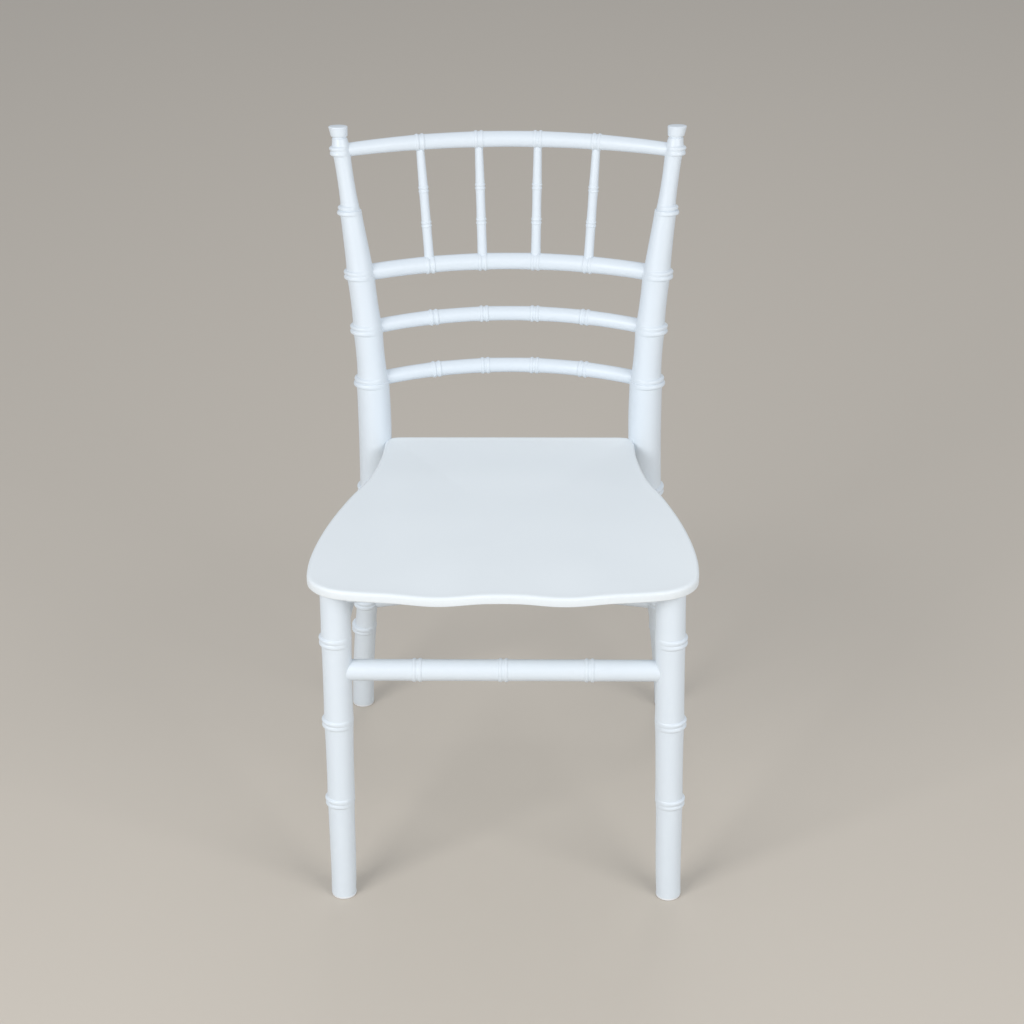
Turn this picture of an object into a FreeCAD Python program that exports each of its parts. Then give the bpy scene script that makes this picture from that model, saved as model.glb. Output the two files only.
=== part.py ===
import FreeCAD, Part
import math
import os

# White moulded bamboo-pattern banquet chair: turned-look sticks joined by spigots in blind sockets,
# a moulded seat pan screwed down on a frame of four rails, and a glide under each foot.
# Millimetres. Z is up, the sitter faces -Y, X is to the right seen from the front.
# Setback is measured backwards from the line between the two front feet, height from the floor.

Vector = FreeCAD.Vector
Rotation = FreeCAD.Rotation

# Overall
chair_height = 838.0
seat_height = 434.5

# Back posts: one stick from the rear foot to the finial. Stations along the centre line.
rear_foot_spacing = 413.2
rear_foot_setback = 451.6
calf_height = 158.0
calf_spacing = 390.6
calf_setback = 422.3
post_seat_level = 450.0
post_seat_spacing = 345.2
post_seat_setback = 392.6
back_middle_level = 640.0
back_middle_spacing = 368.8
back_middle_setback = 411.2
back_upper_level = 745.0
back_upper_spacing = 395.8
back_upper_setback = 425.9
post_top_spacing = 418.6
post_top_setback = 441.6

# Front legs
front_foot_spacing = 398.8
front_leg_top_spacing = 394.2
front_leg_lean = 21.0

# Heights of the rails and stretchers, which are also the heights of the rings that they meet
rear_stretcher_height = 178.0
side_stretcher_front_height = 351.6
side_stretcher_rear_height = 359.0
lower_rail_height = 512.6
middle_rail_height = 581.6
upper_rail_height = 652.0
top_rail_height = 807.0
front_stretcher_height = 310.5

# Rings that no rail meets
front_ring_low = 133.6
front_ring_middle = 241.5
rear_ring_low = 134.6
rear_ring_middle = 268.0
back_ring_free = 733.5

# Radii of each culm, the plain stretch between two rings: at its foot, halfway and at its top
post_culm_radii = [
    (14.6, 14.2, 13.8),
    (13.7, 13.5, 13.6),
    (13.5, 14.1, 15.0),
    (15.3, 16.4, 17.7),
    (18.7, 20.9, 20.4),
    (18.4, 18.0, 17.9),
    (17.4, 17.0, 16.7),
    (16.2, 14.9, 13.2),
    (10.8, 10.3, 10.3),
]
front_culm_radii = [
    (15.3, 15.6, 16.0),
    (16.3, 16.6, 17.0),
    (17.3, 17.4, 17.5),
    (17.7, 17.9, 18.0),
]

# Radii of the cross members at their ends and in the middle
top_rail_end_radius = 8.4
top_rail_radius = 10.0
upper_rail_radius = 10.1
middle_rail_radius = 8.9
lower_rail_radius = 9.1
front_stretcher_radius = 12.6
side_stretcher_radius = 10.5
rear_stretcher_radius = 11.0
spindle_foot_radius = 6.3
spindle_waist_radius = 5.7
spindle_top_radius = 4.9

# Bows: how far the middle of a cross member lies behind its ends, or above them
back_bow = 41.0
back_rise = 2.5
rear_stretcher_bow = 25.0

# Bamboo rings: two beads side by side
bead_pitch = 7.4
bead_radius = 3.9
bead_proud = 2.0
rail_bead_pitch = 7.0
rail_bead_radius = 3.6
rail_bead_proud = 1.6
spindle_bead_pitch = 4.6
spindle_bead_radius = 2.5
spindle_bead_proud = 1.0
bead_least_gap = 0.1
culm_flare = 0.4
culm_flare_length = 9.0
rail_beads = (rail_bead_pitch, rail_bead_radius, rail_bead_proud)

# Ring places on the cross members
spindle_count = 4
rail_rings_per_spacing = 5.7
spindle_ring_low = 704.0
spindle_ring_high = 748.0
front_stretcher_ring_pitch = 102.3
side_stretcher_ring_pitch = 112.0
rear_stretcher_ring_pitch = 98.0
front_stretcher_rings = 3
side_stretcher_rings = 2
rear_stretcher_rings = 3

# Finial
finial_collar_radius = 10.6
finial_neck_radius = 8.3
finial_cup_foot_radius = 9.4
finial_cup_radius = 11.8
finial_cup_height = 14.0
finial_neck_height = 6.0
finial_crown = 0.8
finial_edge = 1.0

# Spigots and sockets
spigot_gap = 0.1
socket_end_gap = 0.6
rail_spigot_radius = 5.0
rail_spigot_depth = 8.5
stretcher_spigot_radius = 7.0
stretcher_spigot_depth = 11.0
spindle_spigot_radius = 3.2
spindle_spigot_depth = 6.0

# Seat pan, in plan from the middle of the front edge round the right side to the rear corner
seat_outline = [
    (0.0, -12.0),
    (75.0, -13.5),
    (150.0, -9.5),
    (200.0, -1.0),
    (225.0, 19.0),
    (230.6, 46.0),
    (226.4, 96.0),
    (213.9, 157.4),
    (193.3, 221.0),
    (171.5, 274.0),
    (158.8, 330.0),
    (152.6, 359.0),
    (150.6, 374.5),
    (146.2, 384.9),
    (136.0, 389.0),
    (115.0, 389.4),
    (60.0, 389.5),
    (0.0, 389.6),
]
seat_rim_thickness = 17.0
seat_rim_top_round = 6.0
seat_rim_bottom_round = 4.0
seat_rim_crest = 5.0
seat_rim_fall = 0.8
seat_rim_wall = 8.0
seat_rim_draft = 1.0
seat_plate_underside = 422.5
seat_dish = 4.5
thigh_dip = 3.3
thigh_dip_spacing = 152.0
thigh_dip_half_width = 62.0
thigh_dip_run = 130.0
seat_points_per_span = 3
seat_top_scales = (0.06, 0.3, 0.55, 0.78)

# Seat frame under the pan
seat_rail_height = 18.5
seat_rail_width = 20.0
seat_rail_round = 3.0
side_rail_width = 16.0
side_rail_front_inset = 7.0
side_rail_rear_spacing = 250.0
side_rail_tenon_length = 9.0
side_rail_tenon_height = 11.0
side_rail_tenon_width = 9.0

# Frame bolts, barrel nuts and the plugs over the bolt heads
bolt_radius = 3.0
bolt_head_radius = 5.0
bolt_head_height = 5.0
bolt_key_width = 4.0
bolt_key_depth = 2.5
bolt_reach = 40.0
barrel_nut_radius = 4.5
barrel_nut_length = 13.0
barrel_nut_distance = 34.0
plug_depth = 3.0
bolt_gap = 0.15

# Seat screws, driven up through the frame
seat_screw_radius = 2.0
seat_screw_bite = 5.0
seat_screw_head_radius = 4.0
seat_screw_head_height = 2.6
seat_screw_head_round = 1.0
seat_screw_gap = 0.15
seat_screw_pitch_front = 220.0
side_screw_setbacks = (165.0, 325.0)

# Glides pressed into the feet
glide_height = 3.0
glide_step = 0.3
glide_round = 1.6
glide_stem_radius = 4.0
glide_stem_length = 12.0
glide_gap = 0.1

# Ways of working that are not sizes of the chair
line_search_halvings = 48
slab_reach_in_radii = 4
SIDES = (("left", -1), ("right", 1))


# Setting out: the origin is under the middle of the chair's depth
seat_front_setback = min(setback for half_width, setback in seat_outline)


def spline_through(points):
    curve = Part.BSplineCurve()
    curve.interpolate(points)
    return curve


def raw_post_line(side):
    stations = [
        (rear_foot_spacing, rear_foot_setback, 0.0),
        (calf_spacing, calf_setback, calf_height),
        (post_seat_spacing, post_seat_setback, post_seat_level),
        (back_middle_spacing, back_middle_setback, back_middle_level),
        (back_upper_spacing, back_upper_setback, back_upper_level),
        (post_top_spacing, post_top_setback, chair_height),
    ]
    points = [Vector(side * spacing / 2, setback, height) for spacing, setback, height in stations]
    return spline_through(points)


def at_height(curve, height):
    """Point and upward direction where a rising line passes a height; it runs on straight past its ends."""
    first, last = curve.FirstParameter, curve.LastParameter
    low, high = curve.value(first), curve.value(last)
    if height <= low.z or height >= high.z:
        end = first if height <= low.z else last
        point, direction = curve.value(end), Vector(*curve.tangent(end)[0])
        return point + direction * ((height - point.z) / direction.z), direction
    for _ in range(line_search_halvings):
        middle = (first + last) / 2
        if curve.value(middle).z < height:
            first = middle
        else:
            last = middle
    return curve.value(first), Vector(*curve.tangent(first)[0])


raw_post = raw_post_line(1)
rear_reach = max(
    at_height(raw_post, top_rail_height)[0].y + back_bow + top_rail_radius,
    rear_foot_setback + post_culm_radii[0][0],
)
front_reach = min(seat_front_setback, -front_culm_radii[0][0])
middle_setback = (front_reach + rear_reach) / 2


def placed(x, setback, height):
    return Vector(x, setback - middle_setback, height)


def post_line(side):
    curve = raw_post_line(side)
    curve.translate(Vector(0, -middle_setback, 0))
    return curve


def front_leg_line(side):
    top = seat_plate_underside
    foot = placed(side * front_foot_spacing / 2, 0.0, 0.0)
    head = placed(side * front_leg_top_spacing / 2, front_leg_lean, top)
    return spline_through([foot, foot + (head - foot) * 0.5, head])


POSTS = {side: post_line(side) for name, side in SIDES}
FRONT_LEGS = {side: front_leg_line(side) for name, side in SIDES}


# Sticks: plain stretches lofted from circle to circle, with turned rings of two beads between them
def facing(direction, base_axis):
    """Turns +Z to a direction by way of a base axis, which keeps the seams of neighbouring pieces in line."""
    return Rotation(base_axis, direction).multiply(Rotation(Vector(0, 0, 1), base_axis))


def loft_bar(stations, base_axis):
    """stations: (point, direction, radius) from one end to the other."""
    wires = []
    for point, direction, radius in stations:
        circle = Part.Wire(Part.makeCircle(radius))
        circle.Placement = FreeCAD.Placement(point, facing(direction, base_axis))
        wires.append(circle)
    return Part.makeLoft(wires, True, False)


def turned(outline, point, direction, base_axis):
    """A solid turned about an axis through a point, from outline edges in its local XZ plane."""
    solid = Part.Face(Part.Wire(outline)).revolve(Vector(0, 0, 0), Vector(0, 0, 1), 360)
    solid.Placement = FreeCAD.Placement(point, facing(direction, base_axis))
    return solid


class Ring:
    """Two beads side by side, between a plain stretch of one radius below and of another above."""

    def __init__(self, point, direction, below, above, beads, base_axis):
        pitch, radius, proud = beads
        self.direction = Vector(direction).normalize()
        self.below, self.above = below, above
        spread = math.sqrt(radius ** 2 - (radius - proud) ** 2)
        half = pitch / 2 + spread
        gap = max(pitch / 2 - spread, bead_least_gap)
        self.start = point - self.direction * half
        self.end = point + self.direction * half
        corners = [(0, -half), (below, -half), (below, -gap), (above, gap), (above, half), (0, half)]
        corners = [Vector(r, 0, z) for r, z in corners]
        outline = [
            Part.makeLine(corners[0], corners[1]),
            Part.Arc(corners[1], Vector(below + proud, 0, -pitch / 2), corners[2]).toShape(),
            Part.makeLine(corners[2], corners[3]),
            Part.Arc(corners[3], Vector(above + proud, 0, pitch / 2), corners[4]).toShape(),
            Part.makeLine(corners[4], corners[5]),
            Part.makeLine(corners[5], corners[0]),
        ]
        self.solid = turned(outline, point, self.direction, base_axis)


def culm(line, low, high, radii):
    """The plain stretch of an upright stick from one (point, direction) to another, flared at both ends."""
    foot, waist, top = radii
    span = high[0].z - low[0].z
    flare = min(culm_flare_length, span / 4)
    stations = [(low[0], low[1], foot + culm_flare)]
    for share in (flare / span, 0.5, 1 - flare / span):
        radius = foot + (waist - foot) * share * 2 if share < 0.5 else waist + (top - waist) * (share * 2 - 1)
        point, direction = at_height(line, low[0].z + span * share)
        stations.append((point, direction, radius))
    stations.append((high[0], high[1], top + culm_flare))
    return loft_bar(stations, Vector(0, 0, 1))


def slab(middle, bottom, top):
    """A level block wider than any stick, for trimming one between two heights."""
    reach = slab_reach_in_radii * max(max(radii) for radii in post_culm_radii)
    corner = Vector(middle.x - reach, middle.y - reach, bottom)
    return Part.makeBox(2 * reach, 2 * reach, top - bottom, corner)


def upright(line, ring_heights, culm_radii, head):
    """Culms and rings from below the floor to the top ring or, above it, to a head (point, direction)."""
    rings = []
    for index, height in enumerate(ring_heights):
        point, direction = at_height(line, height)
        below = culm_radii[index][2] + culm_flare
        above = culm_radii[index + 1][0] + culm_flare if index + 1 < len(culm_radii) else finial_collar_radius
        beads = (bead_pitch, bead_radius, bead_proud)
        rings.append(Ring(point, direction, below, above, beads, Vector(0, 0, 1)))
    starts = [at_height(line, 0.0)] + [(ring.end, ring.direction) for ring in rings]
    ends = [(ring.start, ring.direction) for ring in rings] + ([head] if head else [])
    pieces = [culm(line, low, high, radii) for low, high, radii in zip(starts, ends, culm_radii)]
    stick = pieces[0].multiFuse(pieces[1:] + [ring.solid for ring in rings])
    return stick.cut(slab(starts[0][0], -glide_height, glide_height)), rings


def stick_radius(height, ring_heights, culm_radii):
    """Radius of an upright stick at one of its rings, between the culm below and the culm above."""
    below = ring_heights.index(height)
    above = min(below + 1, len(culm_radii) - 1)
    return (culm_radii[below][2] + culm_radii[above][0]) / 2


post_ring_heights = [
    rear_ring_low,
    rear_stretcher_height,
    rear_ring_middle,
    side_stretcher_rear_height,
    lower_rail_height,
    middle_rail_height,
    upper_rail_height,
    back_ring_free,
    top_rail_height,
]
front_ring_heights = [front_ring_low, front_ring_middle, side_stretcher_front_height]


def finial(ring):
    """Neck and flared cup, turned about the axis of the post's top ring."""
    length = (chair_height - ring.end.z) / ring.direction.z
    cup_foot = length - finial_cup_height
    neck = cup_foot - finial_neck_height / 2
    top = length - finial_crown
    crown_reach = finial_cup_radius - finial_edge
    sphere = (crown_reach ** 2 + finial_crown ** 2) / (2 * finial_crown)
    crown_middle = length - sphere + math.sqrt(sphere ** 2 - (crown_reach / 2) ** 2)
    corners = [(0, 0), (ring.above, 0), (finial_cup_foot_radius, cup_foot)]
    corners += [(finial_cup_radius, top - finial_edge), (crown_reach, top), (0, length)]
    corners = [Vector(r, 0, z) for r, z in corners]
    outline = [
        Part.makeLine(corners[0], corners[1]),
        Part.Arc(corners[1], Vector(finial_neck_radius, 0, neck), corners[2]).toShape(),
        Part.makeLine(corners[2], corners[3]),
        Part.makeLine(corners[3], corners[4]),
        Part.Arc(corners[4], Vector(crown_reach / 2, 0, crown_middle), corners[5]).toShape(),
        Part.makeLine(corners[5], corners[0]),
    ]
    return turned(outline, ring.end, ring.direction, Vector(0, 0, 1))


def back_post(side):
    stick, rings = upright(POSTS[side], post_ring_heights, post_culm_radii, None)
    return stick.fuse(finial(rings[-1]))


def front_leg(side):
    line = FRONT_LEGS[side]
    over_top = seat_plate_underside + culm_flare_length
    stick, rings = upright(line, front_ring_heights, front_culm_radii, at_height(line, over_top))
    return stick.cut(slab(at_height(line, over_top)[0], seat_plate_underside, over_top + culm_flare_length))


# Cross members: bars from axis to axis of the sticks that they join, coped against them afterwards
def bowed_line(start, end, bow):
    if bow == 0:
        return Part.LineSegment(start, end)
    return Part.Arc(start, (start + end) / 2 + Vector(0, bow, 0), end)


def along(line, share):
    """Point and direction at a share of the way along a line or arc."""
    parameter = line.FirstParameter + (line.LastParameter - line.FirstParameter) * share
    return line.value(parameter), Vector(*line.tangent(parameter)[0])


def ring_shares(count, pitch, length):
    return [0.5 + (index - (count - 1) / 2) * pitch / length for index in range(count)]


def ringed_bar(line, radii, ring_places, beads, base_axis):
    """A round bar whose radius runs from its near end through its middle to its far end, with rings."""
    near, middle, far = radii

    def radius_at(share):
        outer = near if share < 0.5 else far
        return outer + (middle - outer) * (1 - (1 - 2 * share) ** 2)

    rings = []
    for share in ring_places:
        point, direction = along(line, share)
        rings.append(Ring(point, direction, radius_at(share), radius_at(share), beads, base_axis))
    shares = [0.0] + list(ring_places) + [1.0]
    starts = [along(line, 0.0)] + [(ring.end, ring.direction) for ring in rings]
    ends = [(ring.start, ring.direction) for ring in rings] + [along(line, 1.0)]
    pieces = [ring.solid for ring in rings]
    for low, high, start, end in zip(shares[:-1], shares[1:], starts, ends):
        stations = [(start[0], start[1], radius_at(low))]
        for third in (1, 2):
            share = low + (high - low) * third / 3
            stations.append(along(line, share) + (radius_at(share),))
        stations.append((end[0], end[1], radius_at(high)))
        pieces.append(loft_bar(stations, base_axis))
    return pieces[0].multiFuse(pieces[1:])


def spigot(end, direction, joint_radius, radius, depth, extra):
    """A round tenon that reaches from inside a bar into the stick whose axis passes through end."""
    inward = Vector(direction).normalize()
    reach = depth + 2 * bead_proud + radius
    start = joint_radius - depth
    if extra:
        start -= socket_end_gap
        return Part.makeCylinder(radius + spigot_gap, reach + socket_end_gap, end + inward * start, inward)
    return Part.makeCylinder(radius, reach, end + inward * start, inward)


class CrossMember:
    """A bar between two sticks: its raw shape, and at each end its spigot and the socket for it."""

    def __init__(self, raw, line, joint_radii, spigot_radius, spigot_depth):
        self.raw = raw
        self.line = line
        self.spigots = []
        self.sockets = []
        for share, turn, joint_radius in ((0.0, 1, joint_radii[0]), (1.0, -1, joint_radii[1])):
            point, direction = along(line, share)
            direction = direction * turn
            self.spigots.append(spigot(point, direction, joint_radius, spigot_radius, spigot_depth, False))
            self.sockets.append(spigot(point, direction, joint_radius, spigot_radius, spigot_depth, True))

    def fitted(self, neighbours):
        coped = self.raw.cut(neighbours)
        return coped.multiFuse(self.spigots)


def back_rail(height, end_radius, radius, rise):
    left, right = [at_height(POSTS[side], height)[0] for name, side in SIDES]
    level_line = bowed_line(left, right, back_bow)
    shares = ring_shares(spindle_count, 1 / rail_rings_per_spacing, 1)
    raw = ringed_bar(level_line, (end_radius, radius, end_radius), shares, rail_beads, Vector(1, 0, 0))
    tilt = math.atan2(rise, back_bow)
    raw.rotate(left, Vector(1, 0, 0), math.degrees(tilt))
    bow = Vector(0, back_bow * math.cos(tilt), back_bow * math.sin(tilt))
    line = Part.Arc(left, (left + right) / 2 + bow, right)
    joint = stick_radius(height, post_ring_heights, post_culm_radii)
    member = CrossMember(raw, line, (joint, joint), rail_spigot_radius, rail_spigot_depth)
    member.shares = shares
    return member


def spindle(index, upper_rail, top_rail):
    foot = along(upper_rail.line, upper_rail.shares[index])[0]
    head = along(top_rail.line, top_rail.shares[index])[0]
    line = Part.LineSegment(foot, head)
    places = [(height - foot.z) / (head.z - foot.z) for height in (spindle_ring_low, spindle_ring_high)]
    radii = (spindle_foot_radius, spindle_waist_radius, spindle_top_radius)
    beads = (spindle_bead_pitch, spindle_bead_radius, spindle_bead_proud)
    raw = ringed_bar(line, radii, places, beads, Vector(0, 0, 1))
    joints = (upper_rail_radius, top_rail_radius)
    return CrossMember(raw, line, joints, spindle_spigot_radius, spindle_spigot_depth)


def stretcher(start, end, bow, radius, count, pitch, joint_radii, base_axis):
    line = bowed_line(start, end, bow)
    shares = ring_shares(count, pitch, line.length())
    raw = ringed_bar(line, (radius, radius, radius), shares, rail_beads, base_axis)
    return CrossMember(raw, line, joint_radii, stretcher_spigot_radius, stretcher_spigot_depth)


# Seat pan: one skin lofted through rings of the outline, from the middle of the top over the rim
def plan_curve():
    right = [Vector(half_width, setback - middle_setback, 0) for half_width, setback in seat_outline]
    left = [Vector(-point.x, point.y, 0) for point in reversed(right[1:-1])]
    curve = Part.BSplineCurve()
    curve.interpolate(Points=right + left, PeriodicFlag=True)
    return curve


def thigh_wave(x, y):
    """The front edge dips where the thighs rest, and the dip fades out towards the back."""
    across = abs(abs(x) - thigh_dip_spacing / 2) / thigh_dip_half_width
    run = (y + middle_setback - seat_front_setback) / thigh_dip_run
    if across >= 1 or run >= 1:
        return 0.0
    return -thigh_dip * (0.5 + 0.5 * math.cos(math.pi * across)) * (1 - run) ** 2 * (1 + 2 * run)


def seat_ring(curve, scale, inset, height, wave_share):
    """The outline moved in by inset, shrunk to scale about the middle of the seat, and lifted to height."""
    middle = Vector(0, (seat_front_setback + seat_outline[-1][1]) / 2 - middle_setback, 0)
    knots = curve.getKnots()
    parameters = []
    for low, high in zip(knots[:-1], knots[1:]):
        step = (high - low) / seat_points_per_span
        parameters += [low + step * index for index in range(seat_points_per_span)]
    points = []
    for parameter in parameters:
        point = curve.value(parameter)
        tangent = Vector(*curve.tangent(parameter)[0])
        point = point + Vector(-tangent.y, tangent.x, 0) * inset
        point = middle + (point - middle) * scale
        points.append(Vector(point.x, point.y, height + wave_share * thigh_wave(point.x, point.y)))
    ring = Part.BSplineCurve()
    ring.interpolate(Points=points, PeriodicFlag=True)
    return Part.Wire(ring.toShape())


def rim_section():
    """The rim's profile as (inset, height), from its top round the outside to the underside of the plate."""
    rim_bottom = seat_height - seat_rim_thickness
    section = [(seat_rim_top_round + seat_rim_crest, seat_height - seat_rim_fall)]
    for angle in (90, 60, 30, 0):
        turn = math.radians(angle)
        inset = seat_rim_top_round * (1 - math.cos(turn))
        section.append((inset, seat_height - seat_rim_top_round * (1 - math.sin(turn))))
    for angle in (0, 45, 90):
        turn = math.radians(angle)
        inset = seat_rim_bottom_round * (1 - math.cos(turn))
        section.append((inset, rim_bottom + seat_rim_bottom_round * (1 - math.sin(turn))))
    section.append((seat_rim_wall, rim_bottom))
    section.append((seat_rim_wall + seat_rim_draft, seat_plate_underside))
    return section


def seat_pan():
    curve = plan_curve()
    rings = []
    for scale in seat_top_scales:
        dish = seat_dish * (1 - scale * scale)
        rings.append(seat_ring(curve, scale, 0, seat_height - seat_rim_fall - dish, scale))
    for inset, height in rim_section():
        rings.append(seat_ring(curve, 1, inset, height, 1 if height != seat_plate_underside else 0))
    rings.append(seat_ring(curve, seat_top_scales[0], 0, seat_plate_underside, 0))
    rings.reverse()
    return Part.makeLoft(rings, True, True)


# Seat frame: four rails between the legs and the posts, just under the seat plate
def rail_box(start, end, width):
    """A level rail between two points, its top under the seat plate and its lower edges rounded."""
    run = Vector(end.x - start.x, end.y - start.y, 0)
    box = Part.makeBox(run.Length, width, seat_rail_height, Vector(0, -width / 2, -seat_rail_height))
    lower = [edge for edge in box.Edges if edge.CenterOfMass.z < seat_rail_round - seat_rail_height]
    lower = [edge for edge in lower if abs(edge.CenterOfMass.y) > width / 2 - seat_rail_round]
    box = box.makeFillet(seat_rail_round, lower)
    box.Placement = FreeCAD.Placement(
        Vector(start.x, start.y, seat_plate_underside), Rotation(Vector(1, 0, 0), run)
    )
    return box


def frame_height():
    return seat_plate_underside - seat_rail_height / 2


def frame_point(line):
    return at_height(line, frame_height())[0]


def side_rail_ends():
    """Where the right side rail's middle line meets the front leg's axis and the rear rail's middle line."""
    front = frame_point(FRONT_LEGS[1]) - Vector(side_rail_front_inset, 0, 0)
    return front, Vector(side_rail_rear_spacing / 2, frame_point(POSTS[1]).y, front.z)


def tenon(shoulder, inward, gap):
    """A flat tenon from its blind end, past the shoulder, to as far again inside the side rail."""
    depth = side_rail_tenon_length + (socket_end_gap if gap else 0)
    width = side_rail_tenon_width + 2 * gap
    height = side_rail_tenon_height + 2 * gap
    box = Part.makeBox(depth + side_rail_tenon_length, width, height, Vector(-depth, -width / 2, -height / 2))
    box.Placement = FreeCAD.Placement(shoulder, Rotation(Vector(1, 0, 0), inward))
    return box


def side_rail_tenons(gap):
    """The front tenon enters the leg and the rear tenon enters the rear rail."""
    front, rear = side_rail_ends()
    run = (rear - front).normalize()
    leg_cover = math.sqrt(front_culm_radii[-1][1] ** 2 - side_rail_front_inset ** 2)
    rear_cover = seat_rail_width / 2 / run.y
    return tenon(front + run * leg_cover, run, gap), tenon(rear - run * rear_cover, run * -1, gap)


# Bolts: each passes through a leg or a post into the end of a rail, where a barrel nut holds it
def hexagon_key(point, outward, depth):
    corners = []
    for index in range(7):
        turn = math.pi / 3 * index
        corners.append(Vector(bolt_key_width / 2 * math.cos(turn), bolt_key_width / 2 * math.sin(turn), 0))
    key = Part.Face(Part.makePolygon(corners)).extrude(Vector(0, 0, depth))
    key.Placement = FreeCAD.Placement(point - outward * depth, Rotation(Vector(0, 0, 1), outward))
    return key


class FrameBolt:
    """A right-hand bolt with its plug, barrel nut and holes, about a point on a stick's axis."""

    def __init__(self, point, stick_radius_here, stick):
        outward = Vector(1, 0, 0)
        head_top = point + outward * (stick_radius_here - plug_depth)
        head_foot = head_top - outward * bolt_head_height
        tip = point - outward * bolt_reach
        length = (head_foot - tip).Length
        shank = Part.makeCylinder(bolt_radius, length, tip, outward)
        head = Part.makeCylinder(bolt_head_radius, bolt_head_height, head_foot, outward)
        self.bolt = shank.fuse(head).cut(hexagon_key(head_top, outward, bolt_key_depth))
        nut_foot = point - outward * barrel_nut_distance - Vector(0, 0, barrel_nut_length / 2)
        self.nut = Part.makeCylinder(barrel_nut_radius, barrel_nut_length, nut_foot).cut(shank)
        over_plug = plug_depth + bead_proud
        self.plug = Part.makeCylinder(bolt_head_radius, over_plug, head_top, outward).common(stick)
        over_head = bolt_head_height + over_plug
        counterbore = Part.makeCylinder(bolt_head_radius + bolt_gap, over_head, head_foot, outward)
        tip_clear = tip - outward * socket_end_gap
        hole = Part.makeCylinder(bolt_radius + bolt_gap, length + socket_end_gap, tip_clear, outward)
        nut_clear = Vector(nut_foot.x, nut_foot.y, seat_plate_underside - seat_rail_height)
        nut_top = nut_foot.z + barrel_nut_length
        nut_hole = Part.makeCylinder(barrel_nut_radius + bolt_gap, nut_top - nut_clear.z, nut_clear)
        self.stick_cuts = [counterbore, hole]
        self.rail_cuts = [hole, nut_hole]


# Seat screws
def seat_screw_places():
    """Where the seat screws pass through the middle of the front and side rails, in plan."""
    front, rear = side_rail_ends()
    right = [Vector(seat_screw_pitch_front / 2, front.y, 0)]
    for setback in side_screw_setbacks:
        share = (setback - middle_setback - front.y) / (rear.y - front.y)
        right.append(Vector(front.x + (rear.x - front.x) * share, setback - middle_setback, 0))
    return right + [Vector(-place.x, place.y, 0) for place in right]


def seat_screw(place, gap):
    """A screw driven up through a rail, or its hole where a gap is given."""
    foot = Vector(place.x, place.y, seat_plate_underside - seat_rail_height)
    shank_length = seat_rail_height + seat_screw_bite + (socket_end_gap if gap else 0)
    shank = Part.makeCylinder(seat_screw_radius + gap, shank_length, foot)
    if gap:
        return shank
    head_foot = foot - Vector(0, 0, seat_screw_head_height)
    head = Part.makeCylinder(seat_screw_head_radius, seat_screw_head_height, head_foot)
    middle = foot.z - seat_screw_head_height / 2
    rim = [edge for edge in head.Edges if edge.Closed and edge.CenterOfMass.z < middle]
    return shank.fuse(head.makeFillet(seat_screw_head_round, rim))


# Glides
def glide(foot, foot_radius):
    outer = foot_radius - glide_step
    disc = Part.makeCylinder(outer, glide_height, Vector(foot.x, foot.y, 0))
    lower = [edge for edge in disc.Edges if edge.Closed and edge.CenterOfMass.z < glide_height / 2]
    disc = disc.makeFillet(glide_round, lower)
    stem = Part.makeCylinder(glide_stem_radius, glide_stem_length, Vector(foot.x, foot.y, glide_height))
    return disc.fuse(stem)


def glide_hole(foot):
    length = glide_stem_length + socket_end_gap
    return Part.makeCylinder(glide_stem_radius + glide_gap, length, Vector(foot.x, foot.y, glide_height))


def mirrored(shape):
    return shape.mirror(Vector(0, 0, 0), Vector(1, 0, 0))


# Assembly: the right-hand side is made and the left-hand side mirrors it
def joint_points(line_of_side, height):
    return [at_height(line_of_side[side], height)[0] for name, side in SIDES]


def make_back_rails():
    return {
        "lower_back_rail": back_rail(lower_rail_height, lower_rail_radius, lower_rail_radius, back_rise),
        "middle_back_rail": back_rail(middle_rail_height, middle_rail_radius, middle_rail_radius, back_rise),
        "upper_back_rail": back_rail(upper_rail_height, upper_rail_radius, upper_rail_radius, 0),
        "top_rail": back_rail(top_rail_height, top_rail_end_radius, top_rail_radius, 0),
    }


def make_front_stretcher():
    left, right = joint_points(FRONT_LEGS, front_stretcher_height)
    joint = front_culm_radii[2][1]
    return stretcher(
        left, right, 0, front_stretcher_radius, front_stretcher_rings, front_stretcher_ring_pitch,
        (joint, joint), Vector(1, 0, 0),
    )


def make_rear_stretcher():
    left, right = joint_points(POSTS, rear_stretcher_height)
    joint = stick_radius(rear_stretcher_height, post_ring_heights, post_culm_radii)
    return stretcher(
        left, right, rear_stretcher_bow, rear_stretcher_radius, rear_stretcher_rings,
        rear_stretcher_ring_pitch, (joint, joint), Vector(1, 0, 0),
    )


def make_side_stretcher():
    start = at_height(FRONT_LEGS[1], side_stretcher_front_height)[0]
    end = at_height(POSTS[1], side_stretcher_rear_height)[0]
    joints = (
        stick_radius(side_stretcher_front_height, front_ring_heights, front_culm_radii),
        stick_radius(side_stretcher_rear_height, post_ring_heights, post_culm_radii),
    )
    return stretcher(
        start, end, 0, side_stretcher_radius, side_stretcher_rings, side_stretcher_ring_pitch,
        joints, Vector(0, 1, 0),
    )


def post_radius_at_frame():
    """The post's radius at the seat frame, on the culm between the side stretcher and the lower rail."""
    foot, waist, top = post_culm_radii[post_ring_heights.index(lower_rail_height)]
    share = (frame_height() - side_stretcher_rear_height) / (lower_rail_height - side_stretcher_rear_height)
    return foot + (waist - foot) * min(2 * share, 1)


def both_sides(shapes):
    return shapes + [mirrored(shape) for shape in shapes]


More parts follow.
